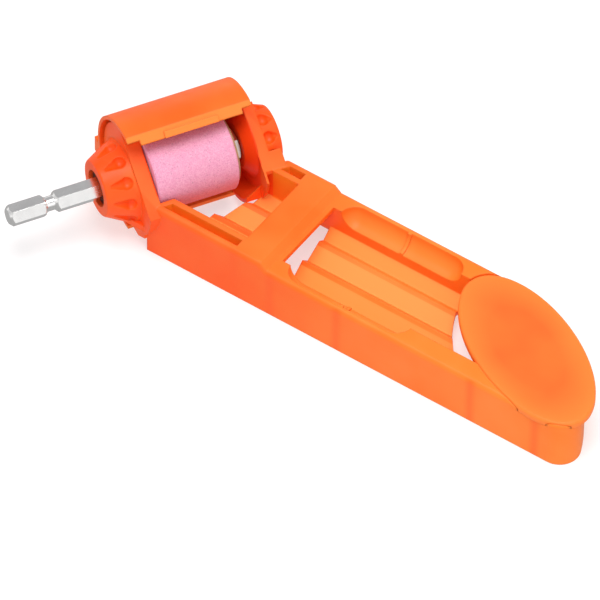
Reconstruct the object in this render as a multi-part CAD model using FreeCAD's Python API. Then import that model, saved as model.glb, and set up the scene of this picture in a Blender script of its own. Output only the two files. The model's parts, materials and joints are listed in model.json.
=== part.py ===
import FreeCAD, Part
import math
import os

V = FreeCAD.Vector

# Hand-held drill bit sharpener, driven by a power drill through a hex shank.
# Millimetres. X runs along the trough from the wheel to the thumb pad, Z is up.
# The drum frame is turned about Z: its X points forward, square to the wheel
# axis, its Y runs along the wheel axis and its origin is the wheel's centre.

# Grinding wheel
wheel_diameter = 26.0
wheel_left_end = 14.0
wheel_right_end = 13.0
wheel_edge_chamfer = 0.4
wheel_angle = 31.0
wheel_place_x = -0.4
wheel_place_y = 1.9
wheel_room = 1.2

# Arms and hubs at the two ends of the wheel, the shank being at the left end
left_arm_inner = 14.4
left_arm_outer = 19.2
left_nose_face = 29.6
left_hub_rim = 14.0
left_cavity_depth = 4.9
left_throat_radius = 5.6
right_arm_inner = 20.0
right_arm_outer = 23.7
right_nose_face = 29.3
right_hub_rim = 11.6
right_boss_face = 17.1
right_boss_radius = 7.2
right_throat_radius = 4.5
arm_disc_radius = 18.2
arm_bottom = -17.3
arm_edge_height = 12.3
arm_edge_slope = 37.0
arm_disc_end = 20.7
arm_foot_back = -2.5
arm_foot_run = 8.5
arm_foot_front = -13.8
arm_overlap = 0.2
hub_nose_radius = 9.1
hub_nose_round = 0.7
hub_edge_gap = 0.3
hub_pocket_count = 11
hub_pocket_radius = 2.1
hub_pocket_tip = 0.6
hub_pocket_start = 0.2
hub_pocket_end = 0.7
hub_pocket_lift = 0.15
hub_pocket_turn = 11.0
hub_cavity_radius = 9.5
hub_shoulder = 0.8
hub_shoulder_lip = 1.0
nose_recess = 1.4
web_depth = 8.6
web_thickness = 2.4
web_end = 2.6
bank_start = 10.5
bank_end_gap = 1.6
dish_start = 15.0
dish_mouth_radius = 16.9
dish_floor_radius = 14.6
dish_top = -2.0

# Wheel guard
guard_left_end = 20.5
guard_right_end = 20.9
guard_clearance = 0.6
guard_fit = 0.35
guard_wall = 1.2
guard_rise = 0.8
guard_floor_gap = 0.15
guard_low_angle = 80.0
guard_lip_forward = 4.6
guard_lip_height = 18.1
guard_lip_depth = 6.5
guard_lip_slant = 2.5
guard_lip_left = 16.3
guard_lip_right = 17.6
guard_bar_start = -8.4
guard_bar_end = 9.6
guard_bar_width = 2.2
guard_bar_height = 0.7
guard_rib_reach = 2.6
guard_rib_height = 6.0
guard_rib_top = -3.4

# Trough body
body_width = 41.4
front_plane = 13.3
wall_height_front = 20.2
wall_height_rear = 18.0
wall_edge_radius = 1.6
ramp_start = 43.6
ramp_length = 2.4
channel_half_width = 13.6
bridge_start = 34.4
bridge_length = 13.1
bridge_thickness = 4.0
floor_thickness = 1.6
wall_skin = 2.0
wall_core_skin = 1.8
wall_core_top = 10.4
wall_rib = 1.6
wall_rib_places = [33.9, 47.6, 72.4, 96.0]
rear_floor_start = 46.4
slot_skin = 2.4
slot_width = 2.8
slot_floor = 15.6
slot_end_gap = 0.6
slot_front = 15.8
scoop_start = 50.5
scoop_end = 95.0
scoop_radius = 5.5
scoop_skin = 2.1
scoop_rib = 1.2
scoop_rib_height = 0.6
tail_nose_x = 150.4
tail_nose_radius = 6.7
tail_bend_x = 108.0

# V grooves of the trough floor, as places across the trough and heights
groove_large_valley = (-7.2, 1.9)
groove_large_ridge = (-1.3, 6.6)
groove_middle_valley = (1.5, 3.8)
groove_middle_ridge = (7.7, 7.3)
groove_small_valley = (9.9, 5.6)
floor_left_height = 8.0
floor_right_height = 8.8

# Oval thumb pad and the skirt under it
pad_length = 66.0
pad_width = 32.4
pad_thickness = 2.2
pad_centre_x = 128.3
pad_centre_y = 0.2
pad_turn = 28.5
pad_below_wall = 0.1
pad_side_gap = 0.1
pad_rim_radius = 1.0
pad_rib_thickness = 1.6
pad_rib_depth = 2.4
pad_rib_gap = 0.2
pad_floor_gap = 1.6
pad_ledge = 1.5
skirt_wall = 2.5

# Spindle and what is clamped on it
hex_flats = 6.35
shank_length = 29.5
shank_tip_chamfer = 1.2
shank_groove_place = 13.8
shank_groove_width = 5.0
shank_groove_radius = 2.35
spindle_diameter = 6.0
spindle_end_diameter = 5.0
spindle_end_step = 22.6
fit_gap = 0.02
left_washer_radius = 9.0
right_washer_radius = 11.4
fibre_washer_thickness = 0.9
collar_radius = 8.0
collar_length = 4.0
grub_diameter = 3.0
grub_length = 4.4
grub_socket_flats = 1.5
grub_socket_depth = 1.6
clamp_washer_radius = 7.5
clamp_washer_thickness = 0.5
nut_flats = 10.0
nut_height = 2.4
clip_radius = 4.3
clip_thickness = 0.7
clip_groove_depth = 0.3
clip_opening = 3.4

# Ball bearings, as bore, outer diameter and width
left_bearing_size = (6.0, 12.0, 4.0)
right_bearing_size = (5.0, 11.0, 5.0)
ball_diameter = 1.588
ball_count = 8
ball_gap = 0.04
race_land = 0.42
cage_thickness = 0.5
cage_side_wall = 0.35
shield_thickness = 0.2
shield_gap = 0.12

# Places worked out from the sizes above
wheel_radius = wheel_diameter / 2
guard_inner_radius = arm_disc_radius + guard_clearance
guard_outer_radius = guard_inner_radius + guard_wall
axis_height = guard_outer_radius - guard_rise + guard_floor_gap
half_body = body_width / 2
wall_top = wall_height_front - axis_height
arm_reach = front_plane + arm_overlap
ramp_end = ramp_start + ramp_length
bridge_end = bridge_start + bridge_length
bridge_bottom = wall_height_front - bridge_thickness
tail_run = tail_nose_x - tail_bend_x
tail_bend_radius = half_body + tail_run ** 2 / (4 * (half_body - tail_nose_radius))
pad_top = wall_height_rear - pad_below_wall
pad_seat = pad_top - pad_thickness
pad_major = pad_length / 2
pad_minor = pad_width / 2
turn = math.radians(pad_turn)
left_race_face = nose_recess - left_nose_face
right_race_face = right_nose_face - nose_recess
collar_face = -wheel_left_end - fibre_washer_thickness
collar_middle = collar_face - collar_length / 2
grub_seat = spindle_diameter / 2
clamp_start = wheel_right_end + fibre_washer_thickness
nut_start = clamp_start + clamp_washer_thickness
well_above = wall_height_front + arm_disc_radius
far = pad_centre_x + pad_length


# Helpers

def to_body(shape):
    """Moves a shape from the drum frame to the trough frame."""
    shape.rotate(V(0, 0, 0), V(0, 0, 1), -wheel_angle)
    shape.translate(V(wheel_place_x, wheel_place_y, axis_height))
    return shape


def drum_point(forward, along):
    """Gives the plan place in the trough frame of a point in the drum frame."""
    angle = math.radians(wheel_angle)
    x = wheel_place_x + forward * math.cos(angle) + along * math.sin(angle)
    y = wheel_place_y - forward * math.sin(angle) + along * math.cos(angle)
    return x, y


def front_corner(side_y, plane):
    """Gives X where a plane square to the drum's forward axis meets a side wall."""
    angle = math.radians(wheel_angle)
    along = (side_y - wheel_place_y + plane * math.sin(angle)) / math.cos(angle)
    return drum_point(plane, along)[0]


def turned(outline):
    """Turns a closed outline of (along, radius) pairs about the drum's Y axis."""
    points = [V(radius, along, 0) for along, radius in outline]
    face = Part.Face(Part.makePolygon(points + points[:1]))
    return face.revolve(V(0, 0, 0), V(0, 1, 0), 360)


def ring(start, end, inner, outer):
    """A plain ring about the drum's Y axis."""
    return turned([(start, inner), (end, inner), (end, outer), (start, outer)])


def rod(start, end, radius):
    """A plain rod about the drum's Y axis."""
    return Part.makeCylinder(radius, end - start, V(0, start, 0), V(0, 1, 0))


def hex_rod(start, end, flats):
    """A hexagon rod about the drum's Y axis with two flats level."""
    corner = flats / math.sqrt(3)
    points = []
    for step in range(7):
        angle = math.radians(60 * step)
        points.append(V(corner * math.cos(angle), start, corner * math.sin(angle)))
    return Part.Face(Part.makePolygon(points)).extrude(V(0, end - start, 0))


def drum_prism(outline, start, end):
    """Extrudes an outline of (forward, up) pairs along the drum's Y axis."""
    points = [V(forward, start, up) for forward, up in outline]
    face = Part.Face(Part.makePolygon(points + points[:1]))
    return face.extrude(V(0, end - start, 0))


def trough_prism(outline, start, end):
    """Extrudes an outline of (across, up) pairs along the trough."""
    points = [V(start, across, up) for across, up in outline]
    face = Part.Face(Part.makePolygon(points + points[:1]))
    return face.extrude(V(end - start, 0, 0))


def block(x0, x1, y0, y1, z0, z1):
    return Part.makeBox(x1 - x0, y1 - y0, z1 - z0, V(x0, y0, z0))


def oval(major, minor):
    """The pad's oval, in plan, with the given half lengths."""
    centre = V(pad_centre_x, pad_centre_y, 0)
    along = V(math.cos(turn), -math.sin(turn), 0)
    across = V(math.sin(turn), math.cos(turn), 0)
    return Part.Ellipse(centre + along * major, centre + across * minor, centre)


def oval_prism(major, minor, bottom, top):
    wire = Part.Wire([oval(major, minor).toShape()])
    wire.translate(V(0, 0, bottom))
    return Part.Face(wire).extrude(V(0, 0, top - bottom))


def mirror_across(shape):
    """The same shape at the other end of the wheel."""
    return shape.mirror(V(0, 0, 0), V(0, 1, 0))


# Trough body

def plan_outline(inset):
    """The body's outline in plan, drawn in by a distance: two walls and a round tail."""
    half = half_body - inset
    nose = V(tail_nose_x, tail_nose_radius - half_body, 0)
    bend = V(tail_bend_x, half_body - tail_bend_radius, 0)
    join = math.degrees(math.atan2(nose.y - bend.y, nose.x - bend.x))
    up = V(0, 0, 1)
    edges = [Part.makeCircle(tail_nose_radius - inset, nose, up, -90, join)]
    edges.append(Part.makeCircle(tail_bend_radius - inset, bend, up, join, 90))
    corners = [V(tail_bend_x, half, 0), V(front_corner(half, front_plane + inset), half, 0)]
    corners += [V(front_corner(-half, front_plane + inset), -half, 0), V(tail_nose_x, -half, 0)]
    for start, end in zip(corners, corners[1:]):
        edges.append(Part.LineSegment(start, end).toShape())
    return Part.Face(Part.Wire(edges))


def under_pad(inset, bottom, top):
    """The room inside the skirt under the pad, drawn in by a distance."""
    room = plan_outline(skirt_wall + inset).extrude(V(0, 0, top - bottom))
    room.translate(V(0, 0, bottom))
    edge = pad_ledge + inset
    return room.common(oval_prism(pad_major - edge, pad_minor - edge, bottom, top))


def floor_outline():
    return [
        (-channel_half_width, floor_left_height),
        groove_large_valley,
        groove_large_ridge,
        groove_middle_valley,
        groove_middle_ridge,
        groove_small_valley,
        (channel_half_width, floor_right_height),
    ]


def make_block():
    """The solid block of the body with its stepped top and rounded top edges."""
    solid = plan_outline(0).extrude(V(0, 0, wall_height_front))
    step = [V(ramp_start, -far, wall_height_front), V(ramp_end, -far, wall_height_rear)]
    step += [V(far * 2, -far, wall_height_rear), V(far * 2, -far, wall_height_front)]
    solid = solid.cut(Part.Face(Part.makePolygon(step + step[:1])).extrude(V(0, far * 2, 0)))
    edges = []
    for edge in solid.Edges:
        box = edge.BoundBox
        on_side = abs(abs(box.Center.y) - half_body) < 1e-6 and box.YLength < 1e-6
        if on_side and box.ZMin > wall_height_rear - 1e-6:
            edges.append(edge)
    return solid.makeFillet(wall_edge_radius, edges)


def make_channel():
    """Everything taken out between the two walls."""
    half = channel_half_width
    above = floor_outline() + [(half, well_above), (-half, well_above)]
    front = trough_prism(above, -far, bridge_start)
    rear = trough_prism(above, bridge_end, pad_centre_x)
    window = block(bridge_start, rear_floor_start, -half, half, -1, bridge_bottom)
    passage = trough_prism(floor_outline() + [(half, bridge_bottom), (-half, bridge_bottom)],
                           bridge_start, bridge_end + 1)
    under = [(y, z - floor_thickness) for y, z in floor_outline()]
    under += [(half, -1), (-half, -1)]
    hollow = trough_prism(under, -far, pad_centre_x)
    tail = oval_prism(pad_major + pad_floor_gap, pad_minor + pad_floor_gap, -1, pad_seat)
    tail = tail.common(block(0, pad_centre_x, -half, half, -1, well_above))
    return front.multiFuse([rear, window, passage, hollow, tail])


def make_wall_cores():
    """The hollows under the two walls, open below and on to the floor's underside, between cross ribs."""
    cores = []
    outer = half_body - wall_skin
    inner = channel_half_width + wall_core_skin
    for side, edge in ((-1, floor_left_height), (1, floor_right_height)):
        for rib, following in zip(wall_rib_places, wall_rib_places[1:]):
            start = rib + wall_rib / 2
            end = following - wall_rib / 2
            low = sorted((side * channel_half_width, side * outer))
            high = sorted((side * inner, side * outer))
            cores.append(block(start, end, low[0], low[1], -1, edge - floor_thickness))
            cores.append(block(start, end, high[0], high[1], -1, wall_core_top))
    return cores


def make_slots():
    """The slots in the tops of the walls beside the wheel and the hollows below their floors."""
    outer = half_body - slot_skin
    inner = outer - slot_width
    rear = bridge_start - slot_end_gap
    slots = []
    for low, high in ((-outer, -inner), (inner, outer)):
        slots.append(block(-far, rear, low, high, slot_floor, well_above))
        slots.append(block(-far, rear, low, high, -1, slot_floor - floor_thickness))
    kept = to_body(block(-far, slot_front, -far, far, -far, far))
    return [slot.cut(kept) for slot in slots]


def make_scoops():
    """A long scooped hollow in the inner face of each rear wall, with a low rib across it."""
    start = scoop_start + scoop_radius
    end = scoop_end - scoop_radius
    rib_start = (start + end - scoop_rib) / 2
    along = V(1, 0, 0)
    scoops = []
    for side in (-1, 1):
        across = side * (half_body - scoop_skin - scoop_radius)
        bar = Part.makeCylinder(scoop_radius, end - start, V(start, across, wall_height_rear), along)
        tips = [Part.makeSphere(scoop_radius, V(x, across, wall_height_rear)) for x in (start, end)]
        place = V(rib_start, across, wall_height_rear)
        rib = Part.makeCylinder(scoop_radius + 1, scoop_rib, place, along)
        core = Part.makeCylinder(scoop_radius - scoop_rib_height, scoop_rib, place, along)
        scoops.append(bar.multiFuse(tips).cut(rib.cut(core)))
    return scoops[0].fuse(scoops[1])


# Arms and hubs, made in the drum frame

def edge_line(forward):
    """Height of the arms' sloping front edge at a distance forward of the axis."""
    return arm_edge_height - forward * math.tan(math.radians(arm_edge_slope))


def above_edge():
    """Everything above the arms' sloping front edge."""
    return drum_prism([(-far, edge_line(-far)), (far, edge_line(far)), (far, far), (-far, far)],
                      -far, far)


def make_arm(inner, outer):
    """An arm at the shank end: a disc with a flat foot, cut off along its front edge."""
    disc = rod(-min(outer, arm_disc_end), -inner, arm_disc_radius)
    disc = disc.cut(block(-far, far, -far, far, -far, arm_bottom))
    foot = drum_prism([(arm_foot_back, arm_bottom), (arm_foot_run, arm_bottom),
                       (arm_reach, arm_foot_front), (arm_reach, edge_line(arm_reach)),
                       (arm_foot_back, edge_line(arm_foot_back))], -outer, -inner)
    return disc.cut(above_edge()).fuse(foot)


def make_bell(inner, outer, nose, rim):
    """A flared hub at the shank end, leaning back from the arm's front edge, with pockets."""
    slope = math.radians(arm_edge_slope)
    lean = rim - arm_edge_height * math.cos(slope) + hub_edge_gap
    middle = V(-lean * math.sin(slope), -outer, -lean * math.cos(slope))
    along = V(0, 1, 0)
    nose_circle = Part.makeCircle(hub_nose_radius, V(0, -nose, 0), along)
    rim_circle = Part.makeCircle(rim, middle, along)
    bell = Part.makeLoft([Part.Wire([nose_circle]), Part.Wire([rim_circle])], True, True)
    front = [edge for edge in bell.Edges if edge.BoundBox.YMax < -nose + 1e-6]
    bell = bell.makeFillet(hub_nose_round, front)
    cutters = []
    for step in range(hub_pocket_count):
        angle = math.radians(hub_pocket_turn + 360 * step / hub_pocket_count)
        out = V(math.cos(angle), 0, math.sin(angle))
        low = out * hub_nose_radius + V(0, -nose, 0)
        side = middle + out * rim - low
        tip = low + side * hub_pocket_start + out * (hub_pocket_tip / 2)
        end = low + side * hub_pocket_end + out * hub_pocket_lift
        length = (end - tip).Length
        cutters.append(Part.makeCone(hub_pocket_tip, hub_pocket_radius, length, tip, end - tip))
        cutters.append(Part.makeSphere(hub_pocket_radius, end))
    bell = bell.cut(cutters)
    return bell.fuse(rod(-outer, -inner, hub_nose_radius))


def make_web():
    """The flat web under the shank end's hub, running to the front of the wall."""
    points = [V(arm_reach, -left_arm_outer, -web_depth),
              V(0, web_end - left_nose_face, -web_depth),
              V(0, -left_arm_inner, -web_depth),
              V(arm_reach, -left_arm_inner, -web_depth)]
    face = Part.Face(Part.makePolygon(points + points[:1]))
    return face.extrude(V(0, 0, -web_thickness))


def make_dish():
    """The low dished rim inside the far arm, round the end of the wheel."""
    floor = right_arm_inner + arm_overlap
    rim = turned([(dish_start, dish_mouth_radius), (dish_start, arm_disc_radius),
                  (floor, arm_disc_radius), (floor, dish_floor_radius)])
    kept = block(-far, arm_reach, -far, far, arm_bottom, dish_top)
    return rim.common(kept)


def make_guard_room():
    """The space round the backs of the arms that the guard slides over."""
    tube = ring(-guard_left_end - guard_fit, guard_right_end + guard_fit,
                guard_inner_radius - guard_fit, guard_outer_radius * 2)
    front = guard_outer_radius * math.cos(math.radians(guard_low_angle)) + guard_fit
    room = tube.common(block(-far, front, -far, far, -far, far))
    room.translate(V(0, 0, guard_rise))
    return room


def make_gusset():
    """The sloping shoulders that carry the arms' front edge on to the walls."""
    low = wall_top - wall_edge_radius
    end = (arm_edge_height - wall_top) / math.tan(math.radians(arm_edge_slope))
    slope = [(0, low), (end, low), (end, wall_top), (0, edge_line(0))]
    tall = plan_outline(0).extrude(V(0, 0, well_above))
    left = to_body(drum_prism(slope, -left_arm_outer, -left_arm_inner)).common(tall)
    right = to_body(drum_prism(slope, right_arm_inner, right_nose_face - bank_end_gap)).common(tall)
    bank = [(bank_start, -web_depth), (arm_reach, -web_depth),
            (arm_reach, edge_line(arm_reach)), (bank_start, edge_line(bank_start))]
    filler = to_body(drum_prism(bank, right_arm_inner, right_nose_face - bank_end_gap))
    return [left, right, filler]


def make_boss():
    """The tapered boss round the spindle on the inner face of the far arm."""
    floor = right_arm_inner + arm_overlap
    return turned([(right_boss_face, 0), (right_boss_face, right_boss_radius),
                   (floor, right_hub_rim), (floor, 0)])


def make_hub_bores():
    """The room round the spindle inside each hub and the seats of the two bearings."""
    pieces = []
    for side, size, nose, throat in ((-1, left_bearing_size, left_nose_face, left_throat_radius),
                                     (1, right_bearing_size, right_nose_face, right_throat_radius)):
        bore, outer, width = size
        seat = nose - nose_recess - width
        shoulder = seat - hub_shoulder
        lip = outer / 2 - hub_shoulder_lip
        outline = [(wheel_right_end, 0), (wheel_right_end, throat), (shoulder, throat), (shoulder, lip),
                   (seat, lip), (seat, outer / 2), (nose + 1, outer / 2), (nose + 1, 0)]
        pieces.append(turned([(side * along, radius) for along, radius in outline]))
    pieces.append(rod(-left_arm_inner - left_cavity_depth, -wheel_right_end, hub_cavity_radius))
    return pieces[0].multiFuse(pieces[1:])


def make_body_shell():
    solid = make_block()
    bay = to_body(rod(-left_arm_inner, right_arm_inner, wheel_radius + wheel_room))
    solid = solid.cut([make_channel(), make_scoops(), bay] + make_slots() + make_wall_cores())
    gap = pad_side_gap
    recess = oval_prism(pad_major + gap, pad_minor + gap, pad_seat, well_above)
    solid = solid.cut([under_pad(0, -1, well_above), recess])
    shank_end = [make_arm(left_arm_inner, left_arm_outer), make_web(),
                 make_bell(left_arm_inner, left_arm_outer, left_nose_face, left_hub_rim)]
    far_end = [make_arm(right_arm_inner, right_arm_outer),
               make_bell(right_arm_inner, right_arm_outer, right_nose_face, right_hub_rim)]
    ends = shank_end + [mirror_across(piece) for piece in far_end] + [make_dish(), make_boss()]
    solid = solid.multiFuse([to_body(piece) for piece in ends] + make_gusset())
    solid = solid.cut([to_body(make_hub_bores()), to_body(make_guard_room())])
    return solid.removeSplitter()


# Thumb pad

def make_thumb_pad():
    """A plain oval plate with a locating rib that drops inside the skirt."""
    plate = oval_prism(pad_major, pad_minor, pad_seat, pad_top)
    rim = [edge for edge in plate.Edges if edge.BoundBox.ZMin > pad_top - 1e-6]
    plate = plate.makeFillet(pad_rim_radius, rim)
    bottom = pad_seat - pad_rib_depth
    outer = under_pad(pad_rib_gap, bottom, pad_seat)
    inner = under_pad(pad_rib_gap + pad_rib_thickness, bottom, pad_seat)
    return plate.fuse(outer.cut(inner)).removeSplitter()


# Wheel guard

def make_wheel_guard():
    """A round shell clipped over the backs of the two arms."""
    tube = ring(-guard_left_end, guard_right_end, guard_inner_radius, guard_outer_radius)
    low = math.radians(guard_low_angle)
    edge = guard_outer_radius * 2
    front = guard_lip_forward
    bottom = guard_lip_height - guard_rise
    shoulder = front - guard_lip_slant
    crest = math.sqrt(guard_outer_radius ** 2 - shoulder ** 2)
    run = shoulder - front
    climb = crest - bottom
    opening = [(0, 0), (edge * math.cos(low), -edge * math.sin(low)),
               (edge, -edge * math.sin(low)), (edge, crest + climb),
               (shoulder + run, crest + climb), (front, bottom)]
    shell = tube.cut(drum_prism(opening, -guard_left_end - 1, guard_right_end + 1))
    back = front - guard_lip_depth
    inside = guard_inner_radius + guard_wall / 2
    lip = [(front, bottom), (shoulder, crest), (back, math.sqrt(inside ** 2 - back ** 2)),
           (shoulder, bottom)]
    lip = drum_prism(lip, -guard_lip_left, guard_lip_right)
    face = math.hypot(run, climb)
    up = (run / face, climb / face)
    out = (up[1], -up[0])
    corners = []
    for along, away in ((0, 0), (guard_bar_width, 0), (guard_bar_width, 1), (0, 1)):
        height = guard_bar_height * away
        corners.append((front + up[0] * along + out[0] * height,
                        bottom + up[1] * along + out[1] * height))
    raised = drum_prism(corners, guard_bar_start, guard_bar_end)
    rib_low = guard_rib_top - guard_rib_height
    root = -math.sqrt(guard_inner_radius ** 2 - rib_low ** 2) - guard_wall / 2
    tip = -guard_outer_radius - guard_rib_reach
    rib = drum_prism([(root, rib_low), (tip, rib_low), (tip, guard_rib_top), (root, guard_rib_top)],
                     -guard_left_end, guard_right_end)
    rib = rib.cut(rod(-guard_left_end - 1, guard_right_end + 1, guard_inner_radius))
    guard = shell.multiFuse([lip, raised, rib]).removeSplitter()
    guard.translate(V(0, 0, guard_rise))
    return to_body(guard)


# Spindle and the pieces on it

def make_spindle():
    """Hex shank with a snap groove, then a turned shaft down to the far bearing."""
    shoulder = left_race_face
    tip = -left_nose_face - shank_length
    shank = hex_rod(tip, shoulder, hex_flats)
    corner = hex_flats / math.sqrt(3) + fit_gap
    cone = turned([(tip, 0), (tip, corner - shank_tip_chamfer), (tip + shank_tip_chamfer, corner),
                   (shoulder, corner), (shoulder, 0)])
    groove = tip + shank_groove_place
    half = shank_groove_width / 2
    cut = turned([(groove - half, corner), (groove - half / 2, shank_groove_radius),
                  (groove + half / 2, shank_groove_radius), (groove + half, corner),
                  (groove + half, corner + 1), (groove - half, corner + 1)])
    shank = shank.common(cone).cut(cut)
    radius = spindle_diameter / 2 - fit_gap
    end_radius = spindle_end_diameter / 2 - fit_gap
    shaft = rod(shoulder, spindle_end_step, radius)
    end = rod(spindle_end_step, right_nose_face, end_radius)
    clip_start = shoulder + left_bearing_size[2]
    clip_groove = ring(clip_start, clip_start + clip_thickness, radius - clip_groove_depth, radius + 1)
    return to_body(shank.multiFuse([shaft, end]).cut(clip_groove).removeSplitter())


def make_retaining_ring():
    """A spring clip in the spindle's groove, against the inner race."""
    start = left_race_face + left_bearing_size[2]
    inner = spindle_diameter / 2 - clip_groove_depth + fit_gap / 2
    clip = ring(start, start + clip_thickness, inner, clip_radius)
    half = clip_opening / 2
    opening = block(0, clip_radius * 2, start - 1, start + clip_thickness + 1, -half, half)
    return to_body(clip.cut(opening))


def make_grinding_wheel():
    bore = spindle_diameter / 2 + fit_gap
    chamfer = wheel_edge_chamfer
    return to_body(turned([(-wheel_left_end, bore), (-wheel_left_end, wheel_radius - chamfer),
                           (chamfer - wheel_left_end, wheel_radius),
                           (wheel_right_end - chamfer, wheel_radius),
                           (wheel_right_end, wheel_radius - chamfer), (wheel_right_end, bore)]))


def make_fibre_washer(start, radius):
    return to_body(ring(start, start + fibre_washer_thickness, spindle_diameter / 2 + fit_gap, radius))


def make_drive_collar():
    """The collar that the wheel is clamped against, with a cross hole for its screw."""
    collar = ring(collar_face - collar_length, collar_face, spindle_diameter / 2, collar_radius)
    hole = Part.makeCylinder(grub_diameter / 2 + fit_gap, collar_radius * 2, V(0, collar_middle, 0),
                             V(1, 0, 0))
    return to_body(collar.cut(hole))


def make_collar_screw():
    screw = Part.makeCylinder(grub_diameter / 2, grub_length, V(grub_seat, collar_middle, 0), V(1, 0, 0))
    socket = hex_rod(0, grub_socket_depth, grub_socket_flats)
    socket.rotate(V(0, 0, 0), V(0, 0, 1), -90)
    socket.translate(V(grub_seat + grub_length - grub_socket_depth, collar_middle, 0))
    return to_body(screw.cut(socket))


def make_clamp_washer():
    return to_body(ring(clamp_start, nut_start, spindle_diameter / 2 + fit_gap, clamp_washer_radius))


def make_clamp_nut():
    end = nut_start + nut_height
    corner = nut_flats / math.sqrt(3)
    flat = nut_flats / 2
    drop = (corner - flat) / 2
    blank = turned([(nut_start, 0), (nut_start, flat), (nut_start + drop, corner),
                    (end - drop, corner), (end, flat), (end, 0)])
    bore = rod(nut_start - 1, end + 1, spindle_diameter / 2)
    return to_body(hex_rod(nut_start, end, nut_flats).common(blank).cut(bore))


# Ball bearings

def make_bearing(size, start):
    """The separate pieces of one shielded ball bearing, from its lower Y face on."""
    bore, outer, width = size
    end = start + width
    middle = start + width / 2
    pitch = (bore + outer) / 4
    ball = ball_diameter / 2
    inner_land = pitch - race_land
    outer_land = pitch + race_land
    track = Part.makeTorus(pitch, ball + ball_gap, V(0, middle, 0), V(0, 1, 0))
    pieces = {}
    inner_race = ring(start, end, bore / 2, inner_land)
    pieces["inner_race"] = inner_race.cut(track)
    outer_race = ring(start, end, outer_land, outer / 2 - fit_gap)
    pieces["outer_race"] = outer_race.cut(track)
    balls = []
    pockets = []
    for step in range(ball_count):
        angle = 2 * math.pi * step / ball_count
        place = V(pitch * math.cos(angle), middle, pitch * math.sin(angle))
        balls.append(Part.makeSphere(ball, place))
        out = V(math.cos(angle), 0, math.sin(angle))
        pockets.append(Part.makeCylinder(ball + ball_gap, outer, V(0, middle, 0), out))
    pieces["balls"] = Part.makeCompound(balls)
    half_cage = ball + cage_side_wall
    cage = ring(middle - half_cage, middle + half_cage, pitch - cage_thickness / 2,
                pitch + cage_thickness / 2)
    pieces["cage"] = cage.cut(pockets)
    shields = []
    for face in (start, end - shield_thickness):
        shields.append(ring(face, face + shield_thickness, inner_land + shield_gap, outer_land))
    pieces["shields"] = Part.makeCompound(shields)
    return {name: to_body(piece) for name, piece in pieces.items()}


# All nodes

nodes = {
    "body_shell": make_body_shell(),
    "thumb_pad": make_thumb_pad(),
    "wheel_guard": make_wheel_guard(),
    "spindle": make_spindle(),
    "retaining_ring": make_retaining_ring(),
    "drive_collar": make_drive_collar(),
    "collar_screw": make_collar_screw(),
    "left_fibre_washer": make_fibre_washer(collar_face, left_washer_radius),
    "grinding_wheel": make_grinding_wheel(),
    "right_fibre_washer": make_fibre_washer(wheel_right_end, right_washer_radius),
    "clamp_washer": make_clamp_washer(),
    "clamp_nut": make_clamp_nut(),
}
bearings = (
    ("left_bearing", left_bearing_size, left_race_face),
    ("right_bearing", right_bearing_size, right_race_face - right_bearing_size[2]),
)
for name, size, start in bearings:
    for piece, shape in make_bearing(size, start).items():
        nodes[name + "_" + piece] = shape

# The origin is the middle of the bottom of the whole sharpener
bounds = FreeCAD.BoundBox()
for shape in nodes.values():
    bounds.add(shape.optimalBoundingBox(False))
shift = V(-bounds.Center.x, -bounds.Center.y, -bounds.ZMin)

os.makedirs("parts", exist_ok=True)
for name, shape in nodes.items():
    shape.translate(shift)
    shape.exportStep("parts/" + name + ".step")
    print(name, len(shape.Solids), round(shape.Volume, 2), shape.isValid())
centre_x, centre_y = drum_point(0, 0)
print("wheel centre", round(centre_x + shift.x, 4), round(centre_y + shift.y, 4),
      round(axis_height + shift.z, 4))
print("shift", [round(value, 4) for value in shift])
print("size", round(bounds.XLength, 3), round(bounds.YLength, 3), round(bounds.ZLength, 3))
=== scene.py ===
"""Drill bit sharpener: finishes, wheel grains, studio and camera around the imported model."""
import json
import math

import bmesh
import bpy
from mathutils import Matrix, Vector


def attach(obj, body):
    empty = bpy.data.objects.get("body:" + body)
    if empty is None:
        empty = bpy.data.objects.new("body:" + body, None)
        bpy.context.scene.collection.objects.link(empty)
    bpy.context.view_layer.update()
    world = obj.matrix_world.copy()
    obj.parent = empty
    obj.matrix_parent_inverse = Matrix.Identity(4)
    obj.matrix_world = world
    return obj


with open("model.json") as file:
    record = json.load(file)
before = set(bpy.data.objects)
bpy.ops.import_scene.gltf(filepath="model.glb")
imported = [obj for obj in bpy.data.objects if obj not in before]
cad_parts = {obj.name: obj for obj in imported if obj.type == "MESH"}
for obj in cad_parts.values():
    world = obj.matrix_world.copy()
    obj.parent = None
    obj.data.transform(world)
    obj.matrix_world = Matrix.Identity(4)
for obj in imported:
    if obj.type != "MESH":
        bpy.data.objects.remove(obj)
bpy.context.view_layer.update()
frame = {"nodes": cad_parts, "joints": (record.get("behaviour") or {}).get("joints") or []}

# Wheel and trough in metres, placed and turned by the spindle's joint
spindle_joint = next(joint for joint in frame["joints"] if joint["name"] == "spindle_turn")
WHEEL_CENTRE = Vector(spindle_joint["pos_m"])
SPINDLE_AXIS = Vector(spindle_joint["axis"])
SPINDLE_HEADING = math.atan2(SPINDLE_AXIS.y, SPINDLE_AXIS.x)
WHEEL_TURN = math.pi / 2 - SPINDLE_HEADING
WHEEL_RADIUS = 0.013
WHEEL_LEFT = -0.014
WHEEL_RIGHT = 0.013
WHEEL_CHAMFER = 0.0004
LEFT_WASHER_RADIUS = 0.0090
RIGHT_WASHER_RADIUS = 0.0114
WHEEL_BEFORE_TROUGH = 0.0004
WHEEL_BESIDE_MIDDLE = 0.0019
TROUGH_START = WHEEL_CENTRE.x + WHEEL_BEFORE_TROUGH
TROUGH_MIDDLE = WHEEL_CENTRE.y - WHEEL_BESIDE_MIDDLE

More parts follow.
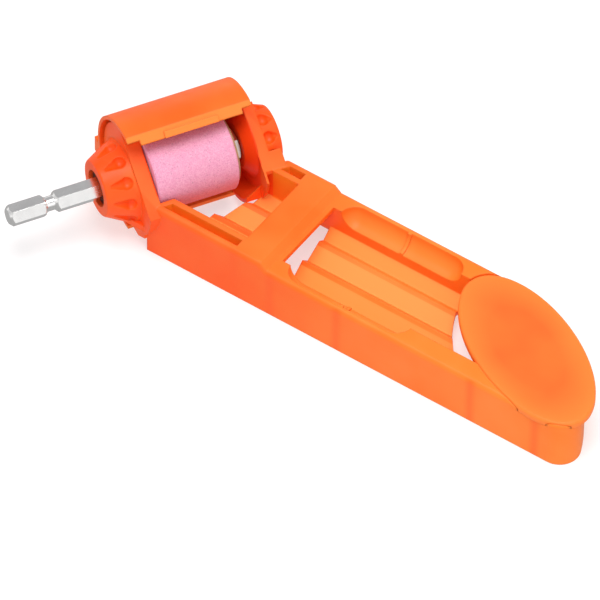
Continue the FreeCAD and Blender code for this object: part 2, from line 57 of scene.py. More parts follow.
# Main tone of the plastic, which lightens along the trough, and the border of its other tones
TONE_START = TROUGH_START + 0.0075
TONE_LENGTH = 0.06
SOFT_BORDER = 0.0002

# Thin floor of the trough, painted paler for the light glowing through it, and its two thicker ridges, across
# from the trough's middle
TROUGH_FLOOR_HALF = 0.0134
TROUGH_FLOOR_FADE = 0.0006
TROUGH_FLOOR_TOP = 0.0085
TROUGH_FLOOR_RISE = 0.003
TROUGH_FLOOR_FACING = (0.5, 0.65)
RIDGE_BANDS = ((0.0082, 0.0016), (-0.0005, 0.0018))
RIDGE_SHARE = 0.1

# Painted shade in the bay between the arms, along the spindle and forward from it, and painted highlight on
# the guard's front lip
BAY_MIDDLE = 0.0028
BAY_HALF = 0.0174
BAY_FRONT = 0.0135
BAY_FADE = 0.001
BAY_SHARE = 0.9
LIP_START = 0.0023
LIP_FADE = 0.0004
LIP_HIGHLIGHT_SHARE = 0.85

# Painted shade on the outsides of the walls, across from the trough's middle, and on the sink marks of the
# ribs, along from its start
WALL_OUTSIDE = (0.0195, 0.0203)
WALL_SHADE_START = TROUGH_START + 0.0175
WALL_SHADE_LENGTH = 0.13
WALL_SHADE_SHARE = 0.55
RIB_PLACES = (0.0339, 0.0476, 0.0724, 0.1219, 0.1455)
MARK_HALF = 0.0004
MARK_FADE = 0.002
MARK_SHADE_SHARE = 0.5

# Slots beside the wheel, from in front of the spindle to the first rib
SLOT_MIDDLE = 0.01605
SLOT_HALF = 0.0026
SLOT_FRONT = 0.0157
SLOT_END = RIB_PLACES[0]
SLOT_TOP = 0.0199

# Oval thumb pad, with its rim as shares of the oval's half size, painted paler for the light glowing through
# it
PAD_CENTRE = (TROUGH_START + 0.1283, TROUGH_MIDDLE + 0.0002, 0)
PAD_TURN = math.radians(28.5)
PAD_HALF_SIZE = (0.033, 0.0162, 1)
PAD_RIM = (0.55, 1.0)
PAD_RIM_GLOW_SHARE = 0.75

# Soft edges and the mix of two colours
EDGE_SAMPLES = 6
EDGE_MATCH = (1.0, 0.8)
MIX_COLOUR_INPUTS = (6, 7)
MIX_COLOUR_OUTPUT = 2

# Moulded plastic
FLOW_SCALE = 45
FLOW_RANGE = (0.35, 0.7)
FLOW_SHARE = 0.3
PLASTIC_EDGE = 0.0006
# Share of the painted highlight that lightens the plastic's edges
PLASTIC_EDGE_HIGHLIGHT_SHARE = 0.12
SMUDGE_SCALE = 160
SMUDGE_RANGE = (0.3, 0.7)
SMUDGE_CHANGE = (-0.06, 0.08)
SKIN_DEPTH = 0.00006
PLASTIC_IOR = 1.47
PLASTIC_SPECULAR = 0.28

# Bonded abrasive
CELL_SCALE = 3400
CELL_RANGE = (0.2, 1)
CELL_STRENGTH = 0.5
CELL_DEPTH = 0.00012
PATCH_SCALE = 1700
PATCH_RANGE = (0.45, 0.75)
PATCH_SHARE = 0.5
SPECK_RANGE = (0.93, 0.99)
SPECK_SHARE = 0.45
GRIT_SCALE = 5200
GRIT_STRENGTH = 0.35
GRIT_DEPTH = 0.00006
ABRASIVE_ROUGHNESS = 0.9
ABRASIVE_SPECULAR = 0.25

# Ground and turned metal
STAIN_RANGE = (0.4, 0.7)
METAL_DEPTH = 0.00002
GRINDING_SIZE = (0.012, 0.00012, 0.00012)
GRINDING_RANGE = (0.3, 0.7)
GRINDING_CHANGE = (-0.08, 0.1)
GRINDING_STRENGTH = 0.04
GROUND_STAIN_SCALE = 240
GROUND_STAIN_SHARE = 0.5
GROUND_EDGE = 0.00022
# Share of the painted dark reflection along the steel's edges
GROUND_EDGE_REFLECTION_SHARE = 0.7
TURNING_SIZE = (0.002, 0.002, 0.002)
TURNING_WOBBLE = 1.5
TURNING_CHANGE = (-0.05, 0.12)
TURNING_STRENGTH = 0.15
TURNED_STAIN_SCALE = 500
TURNED_STAIN_SHARE = 0.6
TURNED_EDGE = 0.00012

# Pressed fibre
STRAND_SIZE = (0.0002, 0.0008, 0.0002)
STRAND_RANGE = (0.35, 0.65)
STRAND_STRENGTH = 0.5
STRAND_DEPTH = 0.00008
FIBRE_ROUGHNESS = 0.88

# Wheel grains
GRAIN_COUNT_PER_SQUARE_METRE = 2.0e6
GRAIN_SIZE = 0.00021
GRAIN_SMALLEST_SHARE = 0.55
GRAIN_SINK = 0.00013
GRAIN_SEED = 7
GRAIN_GAP_AT_WASHER = 0.0004
WHEEL_SEGMENTS = 96

# Camera, fitted to the photograph's frame of 600 by 600
IMAGE_SIZE = 600
VIEW_AZIMUTH = math.radians(35.6)
VIEW_ELEVATION = math.radians(47.5)
VIEW_DISTANCE = 2.9
VIEW_SCALE = 3230
FIT_POINT = Vector((TROUGH_START, TROUGH_MIDDLE, 0))
FIT_PIXEL = (182.0, 207.1)
SENSOR_WIDTH = 36

# Studio
SKY_LOW = (1.0, 1.0, 1.0)
SKY_HIGH = (0.46, 0.46, 0.47)
SKY_FADE = (0.12, 0.45)
LAMP_TARGET = Vector((0, 0, 0.015))
FLOOR_REACH = 4.0
FLOOR_DROP = 0.00005
FLOOR_SHADES = ((0.47, 0.47, 0.47), (0.49, 0.49, 0.49))
FLOOR_PATCH_SCALE = 3
FLOOR_PATCH_RANGE = (0.3, 0.7)
FLOOR_ROUGHNESS = 0.9
FLOOR_GLOW = 0.55
FLOOR_REFLECTION = 0.45


def add_node(tree, kind, settings=None, inputs=None):
    """Adds a node with its settings and its input values."""
    node = tree.nodes.new(kind)
    for name, value in (settings or {}).items():
        setattr(node, name, value)
    for name, value in (inputs or {}).items():
        node.inputs[name].default_value = value
    return node


def start_material(name):
    """Makes an empty material with a shader, its output and object coordinates."""
    material = bpy.data.materials.new(name)
    material.use_nodes = True
    tree = material.node_tree
    tree.nodes.clear()
    shader = add_node(tree, "ShaderNodeBsdfPrincipled")
    output = add_node(tree, "ShaderNodeOutputMaterial")
    tree.links.new(shader.outputs["BSDF"], output.inputs["Surface"])
    place = add_node(tree, "ShaderNodeTexCoord").outputs["Object"]
    return material, tree, shader, place


def noise(tree, place, scale, detail=3, roughness=0.5):
    """Adds a noise pattern and gives its strength."""
    values = {"Scale": scale, "Detail": detail, "Roughness": roughness}
    node = add_node(tree, "ShaderNodeTexNoise", inputs=values)
    tree.links.new(place, node.inputs["Vector"])
    return node.outputs["Fac"]


def spread(tree, value, given, wanted):
    """Maps a value from the given range to the wanted one."""
    ends = {"From Min": given[0], "From Max": given[1], "To Min": wanted[0], "To Max": wanted[1]}
    node = add_node(tree, "ShaderNodeMapRange", inputs=ends)
    tree.links.new(value, node.inputs["Value"])
    return node.outputs["Result"]


def inside(tree, value, edge, fade=SOFT_BORDER, share=1):
    """Gives a share up to an edge, which fades to nothing past it."""
    return spread(tree, value, (edge, edge + fade), (share, 0))


def join(tree, operation, *values):
    """Joins values one after another with the same operation."""
    result = values[0]
    for value in values[1:]:
        node = add_node(tree, "ShaderNodeMath", {"operation": operation})
        tree.links.new(result, node.inputs[0])
        tree.links.new(value, node.inputs[1])
        result = node.outputs[0]
    return result


def distance_from(tree, value, middle):
    """How far a coordinate is from a middle value, either way."""
    away = add_node(tree, "ShaderNodeMath", {"operation": "SUBTRACT"}, {1: middle})
    tree.links.new(value, away.inputs[0])
    size = add_node(tree, "ShaderNodeMath", {"operation": "ABSOLUTE"})
    tree.links.new(away.outputs[0], size.inputs[0])
    return size.outputs[0]


def coordinate(tree, place, axis):
    """One coordinate of a place."""
    node = add_node(tree, "ShaderNodeSeparateXYZ")
    tree.links.new(place, node.inputs["Vector"])
    return node.outputs[axis]


def turned_place(tree, place, centre, heading, lengths):
    """Moves a pattern to a centre, turns it to a heading and gives it a size each way."""
    values = {"Location": centre, "Rotation": (0, 0, heading), "Scale": lengths}
    node = add_node(tree, "ShaderNodeMapping", {"vector_type": "TEXTURE"}, values)
    tree.links.new(place, node.inputs["Vector"])
    return node.outputs["Vector"]


def along_spindle(tree, place, lengths=(1, 1, 1)):
    """Turns a pattern so that its X runs along the spindle and its Y runs away from the trough."""
    return turned_place(tree, place, WHEEL_CENTRE, SPINDLE_HEADING, lengths)


def blend_colours(tree, share, first, second):
    """Blends two colours, each a value or another node's colour."""
    node = add_node(tree, "ShaderNodeMix", {"data_type": "RGBA"})
    tree.links.new(share, node.inputs["Factor"])
    for number, colour in zip(MIX_COLOUR_INPUTS, (first, second)):
        if isinstance(colour, tuple):
            node.inputs[number].default_value = (*colour, 1)
        else:
            tree.links.new(colour, node.inputs[number])
    return node.outputs[MIX_COLOUR_OUTPUT]


def bump(tree, height, strength, distance, under=None):
    """Adds a bump over an optional normal."""
    node = add_node(tree, "ShaderNodeBump", inputs={"Strength": strength, "Distance": distance})
    tree.links.new(height, node.inputs["Height"])
    if under:
        tree.links.new(under, node.inputs["Normal"])
    return node.outputs["Normal"]


def soft_edges(tree, radius):
    """Gives the normal of a surface whose edges look rounded."""
    return add_node(tree, "ShaderNodeBevel", {"samples": EDGE_SAMPLES}, {"Radius": radius}).outputs["Normal"]


def edge_mask(tree, rounded, share):
    """Where the rounded normal leaves the flat one, which is along the edges."""
    flat = add_node(tree, "ShaderNodeNewGeometry").outputs["Normal"]
    match = add_node(tree, "ShaderNodeVectorMath", {"operation": "DOT_PRODUCT"})
    tree.links.new(rounded, match.inputs[0])
    tree.links.new(flat, match.inputs[1])
    return spread(tree, match.outputs["Value"], EDGE_MATCH, (0, share))


def vary_roughness(tree, shader, value, given, roughness, change):
    """Changes the roughness a little as a value runs over its given range."""
    wanted = (roughness + change[0], roughness + change[1])
    tree.links.new(spread(tree, value, given, wanted), shader.inputs["Roughness"])


def off_middle(tree, place):
    """How far a place is from the trough's middle line, to either side."""
    return distance_from(tree, coordinate(tree, place, "Y"), TROUGH_MIDDLE)


def thin_floor_glow(tree, place):
    """The trough's thin floor, which lets the most light through and is painted paler for that glow, without
    its thicker ridges.
    """
    between = inside(tree, off_middle(tree, place), TROUGH_FLOOR_HALF, TROUGH_FLOOR_FADE)
    low = inside(tree, coordinate(tree, place, "Z"), TROUGH_FLOOR_TOP, TROUGH_FLOOR_RISE)
    normal = add_node(tree, "ShaderNodeNewGeometry").outputs["Normal"]
    facing_up = spread(tree, coordinate(tree, normal, "Z"), TROUGH_FLOOR_FACING, (0, 1))
    strips = join(tree, "MULTIPLY", between, low, facing_up)
    across = coordinate(tree, place, "Y")
    for middle, half in RIDGE_BANDS:
        away = distance_from(tree, across, TROUGH_MIDDLE + middle)
        clear = spread(tree, away, (half, half + SOFT_BORDER), (RIDGE_SHARE, 1))
        strips = join(tree, "MULTIPLY", strips, clear)
    return strips


def wheel_bay(tree, place):
    """Where the arms face the wheel, out of the light."""
    drum_place = along_spindle(tree, place)
    along = distance_from(tree, coordinate(tree, drum_place, "X"), BAY_MIDDLE)
    between = inside(tree, along, BAY_HALF, share=BAY_SHARE)
    back = coordinate(tree, drum_place, "Y")
    behind = spread(tree, back, (-BAY_FRONT, BAY_FADE - BAY_FRONT), (0, 1))
    return join(tree, "MULTIPLY", between, behind)


def lit_guard_lip(tree, place):
    """The guard's front lip, whose face gets a painted highlight."""
    back = coordinate(tree, along_spindle(tree, place), "Y")
    return inside(tree, back, -LIP_START, LIP_FADE, LIP_HIGHLIGHT_SHARE)


def wall_outsides(tree, place, share):
    """The outsides of the two walls."""
    return spread(tree, off_middle(tree, place), WALL_OUTSIDE, (0, share))


def shaded_sink_marks(tree, place):
    """Faint upright marks of painted shade on the outsides of the walls, opposite the cross ribs."""
    along = coordinate(tree, place, "X")
    distances = [distance_from(tree, along, TROUGH_START + rib) for rib in RIB_PLACES]
    marks = [inside(tree, distance, MARK_HALF, MARK_FADE) for distance in distances]
    return join(tree, "MULTIPLY", join(tree, "MAXIMUM", *marks), wall_outsides(tree, place, MARK_SHADE_SHARE))


def shaded_outer_walls(tree, place):
    """Painted shade on the outsides of the walls, deeper towards the wheel, where they are thickest."""
    along = coordinate(tree, place, "X")
    depth = inside(tree, along, WALL_SHADE_START, WALL_SHADE_LENGTH, WALL_SHADE_SHARE)
    return join(tree, "MULTIPLY", wall_outsides(tree, place, 1), depth)


def lit_walls(tree, place):
    """The slots and the channel's sides beside the wheel, which glow from light through thin walls."""
    across = distance_from(tree, off_middle(tree, place), SLOT_MIDDLE)
    between = inside(tree, across, SLOT_HALF)
    below = inside(tree, coordinate(tree, place, "Z"), SLOT_TOP)
    before = inside(tree, coordinate(tree, place, "X"), TROUGH_START + SLOT_END)
    back = coordinate(tree, along_spindle(tree, place), "Y")
    ahead = inside(tree, back, -SLOT_FRONT)
    return join(tree, "MULTIPLY", between, below, before, ahead)


def pad_rim_glow(tree, place):
    """The thumb pad's rim, where it thins and is painted paler for the light glowing through it."""
    oval_place = turned_place(tree, place, PAD_CENTRE, -PAD_TURN, PAD_HALF_SIZE)
    level = add_node(tree, "ShaderNodeVectorMath", {"operation": "MULTIPLY"}, {1: (1, 1, 0)})
    tree.links.new(oval_place, level.inputs[0])
    reach = add_node(tree, "ShaderNodeVectorMath", {"operation": "LENGTH"})
    tree.links.new(level.outputs["Vector"], reach.inputs[0])
    return spread(tree, reach.outputs["Value"], PAD_RIM, (0, PAD_RIM_GLOW_SHARE))


def moulded_plastic(name, deep, light, pale_flow_and_painted_light, painted_light_region, skin_scale, skin_strength, roughness, shades=()):
    """Moulded plastic, painted paler where it is thin and light glows through or where a face catches the
    light, with flow shading, a fine skin and soft edges with a painted highlight.
    """
    material, tree, shader, place = start_material(name)
    along = coordinate(tree, place, "X")
    tone_share = spread(tree, along, (TONE_START, TONE_START + TONE_LENGTH), (0, 1))
    tone = blend_colours(tree, tone_share, deep, light)
    flow = spread(tree, noise(tree, place, FLOW_SCALE, detail=2), FLOW_RANGE, (0, FLOW_SHARE))
    tone = blend_colours(tree, flow, tone, pale_flow_and_painted_light)
    # Painted light: the region's painted glow or highlight first, then each shade's painted shade or glow
    for region, shade in ((painted_light_region, pale_flow_and_painted_light), *shades):
        tone = blend_colours(tree, region(tree, place), tone, shade)
    rounded = soft_edges(tree, PLASTIC_EDGE)
    # Painted highlight: the edges are lightened towards the pale tone
    painted_edges = edge_mask(tree, rounded, PLASTIC_EDGE_HIGHLIGHT_SHARE)
    tree.links.new(blend_colours(tree, painted_edges, tone, pale_flow_and_painted_light), shader.inputs["Base Color"])
    smudge = noise(tree, place, SMUDGE_SCALE, detail=4, roughness=0.6)
    vary_roughness(tree, shader, smudge, SMUDGE_RANGE, roughness, SMUDGE_CHANGE)
    skin = noise(tree, place, skin_scale, detail=3, roughness=0.6)
    tree.links.new(bump(tree, skin, skin_strength, SKIN_DEPTH, rounded), shader.inputs["Normal"])
    shader.inputs["IOR"].default_value = PLASTIC_IOR
    shader.inputs["Specular IOR Level"].default_value = PLASTIC_SPECULAR
    return material


def abrasive(name, main, pale, dark, speck):
    """Bonded abrasive: packed grains of several pinks with fine grey-red specks between them."""
    material, tree, shader, place = start_material(name)
    cells = add_node(tree, "ShaderNodeTexVoronoi", inputs={"Scale": CELL_SCALE})
    tree.links.new(place, cells.inputs["Vector"])
    cell_tone = add_node(tree, "ShaderNodeSeparateColor")
    tree.links.new(cells.outputs["Color"], cell_tone.inputs["Color"])
    tone = blend_colours(tree, spread(tree, cell_tone.outputs["Red"], CELL_RANGE, (0, 1)), main, pale)
    patches = spread(tree, noise(tree, place, PATCH_SCALE), PATCH_RANGE, (0, PATCH_SHARE))
    tone = blend_colours(tree, patches, tone, dark)
    specks = spread(tree, cell_tone.outputs["Green"], SPECK_RANGE, (0, SPECK_SHARE))
    tree.links.new(blend_colours(tree, specks, tone, speck), shader.inputs["Base Color"])
    coarse = bump(tree, cells.outputs["Distance"], CELL_STRENGTH, CELL_DEPTH)
    grit = noise(tree, place, GRIT_SCALE, detail=2)
    tree.links.new(bump(tree, grit, GRIT_STRENGTH, GRIT_DEPTH, coarse), shader.inputs["Normal"])
    shader.inputs["Roughness"].default_value = ABRASIVE_ROUGHNESS
    shader.inputs["Specular IOR Level"].default_value = ABRASIVE_SPECULAR
    return material


def ground_steel(name, tone, dark, dark_edge_reflection, roughness):
    """Steel with fine grinding lines along the spindle, soft stains and edges darkened by a painted
    reflection.
    """
    material, tree, shader, place = start_material(name)
    lines = noise(tree, along_spindle(tree, place, GRINDING_SIZE), 1, detail=4, roughness=0.65)
    stain_pattern = noise(tree, place, GROUND_STAIN_SCALE, detail=4)
    stain = spread(tree, stain_pattern, STAIN_RANGE, (0, GROUND_STAIN_SHARE))
    metal = blend_colours(tree, stain, tone, dark)
    rounded = soft_edges(tree, GROUND_EDGE)
    # Painted reflection: the edges are darkened as if they mirrored dark surroundings
    painted_edges = edge_mask(tree, rounded, GROUND_EDGE_REFLECTION_SHARE)
    tree.links.new(blend_colours(tree, painted_edges, metal, dark_edge_reflection), shader.inputs["Base Color"])
    vary_roughness(tree, shader, lines, GRINDING_RANGE, roughness, GRINDING_CHANGE)
    tree.links.new(bump(tree, lines, GRINDING_STRENGTH, METAL_DEPTH, rounded), shader.inputs["Normal"])
    shader.inputs["Metallic"].default_value = 1
    return material


def turned_metal(name, tone, dark, roughness):
    """Metal with the fine rings of turning about the spindle."""
    material, tree, shader, place = start_material(name)
    rings = add_node(tree, "ShaderNodeTexWave", {"wave_type": "RINGS", "rings_direction": "X"},
                     {"Scale": 1, "Distortion": TURNING_WOBBLE, "Detail": 2})
    tree.links.new(along_spindle(tree, place, TURNING_SIZE), rings.inputs["Vector"])
    stain_pattern = noise(tree, place, TURNED_STAIN_SCALE, detail=4)
    stain = spread(tree, stain_pattern, STAIN_RANGE, (0, TURNED_STAIN_SHARE))
    tree.links.new(blend_colours(tree, stain, tone, dark), shader.inputs["Base Color"])
    vary_roughness(tree, shader, stain, (0, 1), roughness, TURNING_CHANGE)
    rounded = soft_edges(tree, TURNED_EDGE)
    ridges = bump(tree, rings.outputs["Fac"], TURNING_STRENGTH, METAL_DEPTH, rounded)
    tree.links.new(ridges, shader.inputs["Normal"])
    shader.inputs["Metallic"].default_value = 1
    return material


def pressed_fibre(name, tone, dark):
    """Pressed fibre with short matted strands."""
    material, tree, shader, place = start_material(name)
    strands = noise(tree, along_spindle(tree, place, STRAND_SIZE), 1, detail=5, roughness=0.7)
    share = spread(tree, strands, STRAND_RANGE, (0, 1))
    tree.links.new(blend_colours(tree, share, tone, dark), shader.inputs["Base Color"])
    tree.links.new(bump(tree, strands, STRAND_STRENGTH, STRAND_DEPTH), shader.inputs["Normal"])
    shader.inputs["Roughness"].default_value = FIBRE_ROUGHNESS
    return material


# Finishes
orange_plastic = moulded_plastic(
    "orange_plastic", deep=(0.99, 0.088, 0.006), light=(1.0, 0.200, 0.016), pale_flow_and_painted_light=(1.0, 0.34, 0.07),
    painted_light_region=thin_floor_glow, skin_scale=3600, skin_strength=0.10, roughness=0.42,
    # Painted shade on the outer walls, sink marks and wheel bay, and painted glow in the lit walls
    shades=((shaded_outer_walls, (0.99, 0.080, 0.002)), (shaded_sink_marks, (0.99, 0.105, 0.008)),
            (wheel_bay, (1.0, 0.050, 0.003)), (lit_walls, (1.0, 0.27, 0.02))))
# The guard's pale tone is also the painted highlight on its lip
guard_plastic = moulded_plastic(
    "guard_plastic", deep=(0.99, 0.125, 0.009), light=(1.0, 0.150, 0.012), pale_flow_and_painted_light=(1.0, 0.25, 0.04),
    painted_light_region=lit_guard_lip, skin_scale=3600, skin_strength=0.08, roughness=0.38)
pad_plastic = moulded_plastic(
    "pad_plastic", deep=(0.99, 0.118, 0.012), light=(1.0, 0.126, 0.014), pale_flow_and_painted_light=(1.0, 0.25, 0.035),
    painted_light_region=pad_rim_glow, skin_scale=2600, skin_strength=0.35, roughness=0.50)
pink_abrasive = abrasive(
    "pink_abrasive", main=(0.78, 0.33, 0.49), pale=(0.87, 0.45, 0.59), dark=(0.70, 0.25, 0.39),
    speck=(0.42, 0.18, 0.25))
tan_fibre = pressed_fibre("tan_fibre", tone=(0.50, 0.30, 0.15), dark=(0.30, 0.16, 0.07))
bright_steel = ground_steel(
    "bright_steel", tone=(0.91, 0.90, 0.89), dark=(0.81, 0.80, 0.79), dark_edge_reflection=(0.30, 0.29, 0.29),
    roughness=0.18)
dark_steel = turned_metal("dark_steel", tone=(0.13, 0.13, 0.135), dark=(0.08, 0.08, 0.085), roughness=0.36)
plated_steel = turned_metal("plated_steel", tone=(0.66, 0.62, 0.57), dark=(0.54, 0.50, 0.46), roughness=0.34)
race_steel = turned_metal("race_steel", tone=(0.32, 0.32, 0.33), dark=(0.22, 0.22, 0.23), roughness=0.24)
cage_brass = turned_metal("cage_brass", tone=(0.62, 0.42, 0.14), dark=(0.42, 0.26, 0.08), roughness=0.32)

FINISHES = {
    "body_shell": orange_plastic, "thumb_pad": pad_plastic, "wheel_guard": guard_plastic,
    "grinding_wheel": pink_abrasive, "left_fibre_washer": tan_fibre, "right_fibre_washer": tan_fibre,
    "spindle": bright_steel, "left_bearing_cage": cage_brass, "right_bearing_cage": cage_brass,
    "left_bearing_inner_race": race_steel, "right_bearing_inner_race": race_steel,
    "left_bearing_balls": race_steel, "right_bearing_balls": race_steel,
    "clamp_nut": plated_steel, "clamp_washer": plated_steel,
}


def finish_solids():
    """Gives every solid its finish, which is dark steel for the small hardware."""
    for name, solid in frame["nodes"].items():
        solid.data.materials.clear()
        solid.data.materials.append(FINISHES.get(name, dark_steel))


def drum_matrix():
    """The wheel's own frame: X towards the trough, Y along the spindle, Z up."""
    return Matrix.Translation(WHEEL_CENTRE) @ Matrix.Rotation(-WHEEL_TURN, 4, "Z")


def wheel_skin():
    """The wheel's bare outside, turned from its profile, for the grains to sit on."""
    profile = [
        (LEFT_WASHER_RADIUS + GRAIN_GAP_AT_WASHER, WHEEL_LEFT),
        (WHEEL_RADIUS - WHEEL_CHAMFER, WHEEL_LEFT),
        (WHEEL_RADIUS, WHEEL_LEFT + WHEEL_CHAMFER),
        (WHEEL_RADIUS, WHEEL_RIGHT - WHEEL_CHAMFER),
        (WHEEL_RADIUS - WHEEL_CHAMFER, WHEEL_RIGHT),
        (RIGHT_WASHER_RADIUS + GRAIN_GAP_AT_WASHER, WHEEL_RIGHT),
    ]
    mesh = bmesh.new()
    rows = []
    for step in range(WHEEL_SEGMENTS):
        angle = math.tau * step / WHEEL_SEGMENTS
        corners = [(radius * math.cos(angle), along, radius * math.sin(angle)) for radius, along in profile]
        rows.append([mesh.verts.new(corner) for corner in corners])
    for step in range(WHEEL_SEGMENTS):
        row = rows[step]
        following = rows[(step + 1) % WHEEL_SEGMENTS]
        for i in range(len(profile) - 1):
            mesh.faces.new((row[i], row[i + 1], following[i + 1], following[i]))
    mesh.transform(drum_matrix())
    data = bpy.data.meshes.new("wheel_skin")
    mesh.to_mesh(data)
    mesh.free()
    return data


def grain_tree(material):
    """Scatters small broken grains, sunk partly into the surface that they are given."""
    tree = bpy.data.node_groups.new("wheel_grain_scatter", "GeometryNodeTree")
    sizes = (
        ("Grain Size", "NodeSocketFloat", GRAIN_SIZE),
        ("Grain Density", "NodeSocketFloat", GRAIN_COUNT_PER_SQUARE_METRE),
        ("Sink", "NodeSocketFloat", GRAIN_SINK),
        ("Seed", "NodeSocketInt", GRAIN_SEED),
    )
    tree.interface.new_socket("Surface", in_out="INPUT", socket_type="NodeSocketGeometry")
    for name, kind, value in sizes:
        tree.interface.new_socket(name, in_out="INPUT", socket_type=kind).default_value = value
    tree.interface.new_socket("Grains", in_out="OUTPUT", socket_type="NodeSocketGeometry")
    source = add_node(tree, "NodeGroupInput")
    result = add_node(tree, "NodeGroupOutput")

    # Points on the surface, pushed inwards
    scatter = add_node(tree, "GeometryNodeDistributePointsOnFaces")
    tree.links.new(source.outputs["Surface"], scatter.inputs["Mesh"])
    tree.links.new(source.outputs["Grain Density"], scatter.inputs["Density"])
    tree.links.new(source.outputs["Seed"], scatter.inputs["Seed"])
    inward = add_node(tree, "ShaderNodeMath", {"operation": "MULTIPLY"}, {1: -1.0})
    tree.links.new(source.outputs["Sink"], inward.inputs[0])
    offset = add_node(tree, "ShaderNodeVectorMath", {"operation": "SCALE"})
    tree.links.new(scatter.outputs["Normal"], offset.inputs[0])
    tree.links.new(inward.outputs[0], offset.inputs["Scale"])
    sink = add_node(tree, "GeometryNodeSetPosition")
    tree.links.new(scatter.outputs["Points"], sink.inputs["Geometry"])
    tree.links.new(offset.outputs[0], sink.inputs["Offset"])

    # One grain at each point, turned and sized at random
    grain = add_node(tree, "GeometryNodeMeshIcoSphere", inputs={"Subdivisions": 1})
    tree.links.new(source.outputs["Grain Size"], grain.inputs["Radius"])
    turn = add_node(tree, "FunctionNodeRandomValue", {"data_type": "FLOAT_VECTOR"}, {1: [math.tau] * 3})
    size = add_node(tree, "FunctionNodeRandomValue", {"data_type": "FLOAT_VECTOR"},
                    {0: [GRAIN_SMALLEST_SHARE] * 3, 1: [1.0] * 3})
    tree.links.new(source.outputs["Seed"], turn.inputs["Seed"])
    tree.links.new(source.outputs["Seed"], size.inputs["Seed"])
    place = add_node(tree, "GeometryNodeInstanceOnPoints")
    tree.links.new(sink.outputs["Geometry"], place.inputs["Points"])
    tree.links.new(grain.outputs["Mesh"], place.inputs["Instance"])
    tree.links.new(turn.outputs[0], place.inputs["Rotation"])
    tree.links.new(size.outputs[0], place.inputs["Scale"])
    real = add_node(tree, "GeometryNodeRealizeInstances")
    tree.links.new(place.outputs["Instances"], real.inputs["Geometry"])
    paint = add_node(tree, "GeometryNodeSetMaterial", inputs={"Material": material})
    tree.links.new(real.outputs["Geometry"], paint.inputs["Geometry"])
    tree.links.new(paint.outputs["Geometry"], result.inputs["Grains"])
    return tree


def make_wheel_grains():
    """The wheel's rough face, as grains of real shape."""
    carrier = bpy.data.objects.new("wheel_grain_carrier", wheel_skin())
    bpy.context.collection.objects.link(carrier)
    modifier = carrier.modifiers.new("grains", "NODES")
    modifier.node_group = grain_tree(pink_abrasive)
    scene_now = bpy.context.evaluated_depsgraph_get()
    data = bpy.data.meshes.new_from_object(carrier.evaluated_get(scene_now))
    bpy.data.objects.remove(carrier)
    grains = bpy.data.objects.new("wheel_grains", data)
    bpy.context.collection.objects.link(grains)
    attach(grains, "spindle")


def floor_finish():
    """A plain pale floor, which shines greyer in the steel than it looks."""
    material, tree, shader, place = start_material("pale_floor")
    pattern = noise(tree, place, FLOOR_PATCH_SCALE, detail=2)
    shade = blend_colours(tree, spread(tree, pattern, FLOOR_PATCH_RANGE, (0, 1)), *FLOOR_SHADES)
    tree.links.new(shade, shader.inputs["Base Color"])
    shader.inputs["Roughness"].default_value = FLOOR_ROUGHNESS
    shader.inputs["Emission Color"].default_value = (1, 1, 1, 1)
    shader.inputs["Emission Strength"].default_value = FLOOR_GLOW
    grey = add_node(tree, "ShaderNodeEmission", inputs={"Strength": FLOOR_REFLECTION})
    mirrored = add_node(tree, "ShaderNodeLightPath").outputs["Is Glossy Ray"]
    choice = add_node(tree, "ShaderNodeMixShader")
    tree.links.new(mirrored, choice.inputs["Fac"])
    tree.links.new(shader.outputs["BSDF"], choice.inputs[1])
    tree.links.new(grey.outputs["Emission"], choice.inputs[2])
    tree.links.new(choice.outputs["Shader"], tree.nodes["Material Output"].inputs["Surface"])
    return material


def make_floor():
    """The floor, a hair below the walls' lower edges."""
    signs = ((-1, -1), (1, -1), (1, 1), (-1, 1))
    corners = [(x * FLOOR_REACH, y * FLOOR_REACH, -FLOOR_DROP) for x, y in signs]
    data = bpy.data.meshes.new("floor")
    data.from_pydata(corners, [], [(0, 1, 2, 3)])
    data.materials.append(floor_finish())
    floor = bpy.data.objects.new("floor", data)
    bpy.context.collection.objects.link(floor)


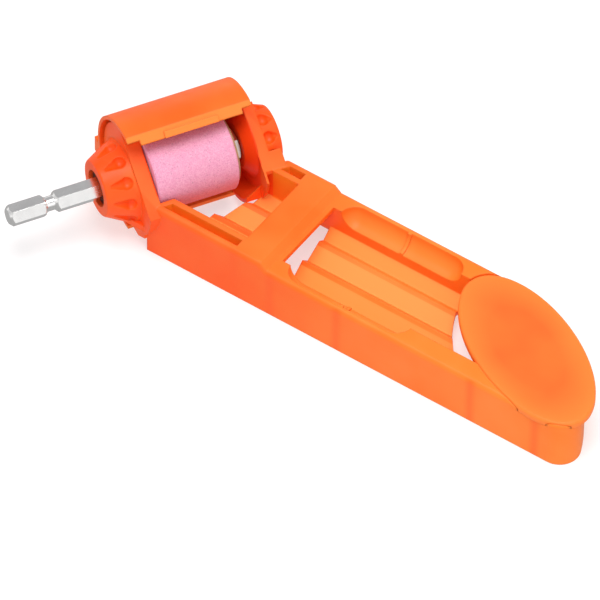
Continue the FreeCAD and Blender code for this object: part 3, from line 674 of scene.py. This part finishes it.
def add_lamp(name, place, size, power):
    """A square soft lamp that points at the object."""
    data = bpy.data.lights.new(name, "AREA")
    data.shape = "SQUARE"
    data.size = size
    data.energy = power
    lamp = bpy.data.objects.new(name, data)
    lamp.location = place
    lamp.rotation_euler = (LAMP_TARGET - lamp.location).to_track_quat("-Z", "Y").to_euler()
    bpy.context.collection.objects.link(lamp)


def light_studio():
    """Soft light all round, with one broad lamp above and one low fill."""
    world = bpy.data.worlds.new("studio")
    world.use_nodes = True
    tree = world.node_tree
    direction = add_node(tree, "ShaderNodeTexCoord").outputs["Generated"]
    height = spread(tree, coordinate(tree, direction, "Z"), SKY_FADE, (0, 1))
    sky = blend_colours(tree, height, SKY_LOW, SKY_HIGH)
    tree.links.new(sky, tree.nodes["Background"].inputs["Color"])
    bpy.context.scene.world = world
    add_lamp("broad_lamp", place=(0.1, -0.15, 1.5), size=0.9, power=18)
    add_lamp("fill_lamp", place=(0.9, -0.5, 0.7), size=0.8, power=1.5)
    bpy.context.scene.view_settings.view_transform = "Standard"


def set_camera():
    """The camera stands where the photograph's did and looks through the frame's middle."""
    level = math.cos(VIEW_ELEVATION)
    back = Vector((math.sin(VIEW_AZIMUTH) * level, -math.cos(VIEW_AZIMUTH) * level, math.sin(VIEW_ELEVATION)))
    right = Vector((math.cos(VIEW_AZIMUTH), math.sin(VIEW_AZIMUTH), 0))
    up = back.cross(right)
    focal_pixels = VIEW_SCALE * VIEW_DISTANCE
    pixels_right = IMAGE_SIZE / 2 - FIT_PIXEL[0]
    pixels_down = IMAGE_SIZE / 2 - FIT_PIXEL[1]
    ahead = (-back * focal_pixels + right * pixels_right - up * pixels_down).normalized()
    side = ahead.cross(up).normalized()
    above = side.cross(ahead)
    data = bpy.data.cameras.new("camera")
    data.sensor_width = SENSOR_WIDTH
    data.lens = focal_pixels / IMAGE_SIZE * SENSOR_WIDTH
    camera = bpy.data.objects.new("camera", data)
    turn = Matrix((side, above, -ahead)).transposed().to_4x4()
    camera.matrix_world = Matrix.Translation(FIT_POINT + back * VIEW_DISTANCE) @ turn
    bpy.context.collection.objects.link(camera)
    bpy.context.scene.camera = camera


finish_solids()
make_wheel_grains()
make_floor()
light_studio()
set_camera()
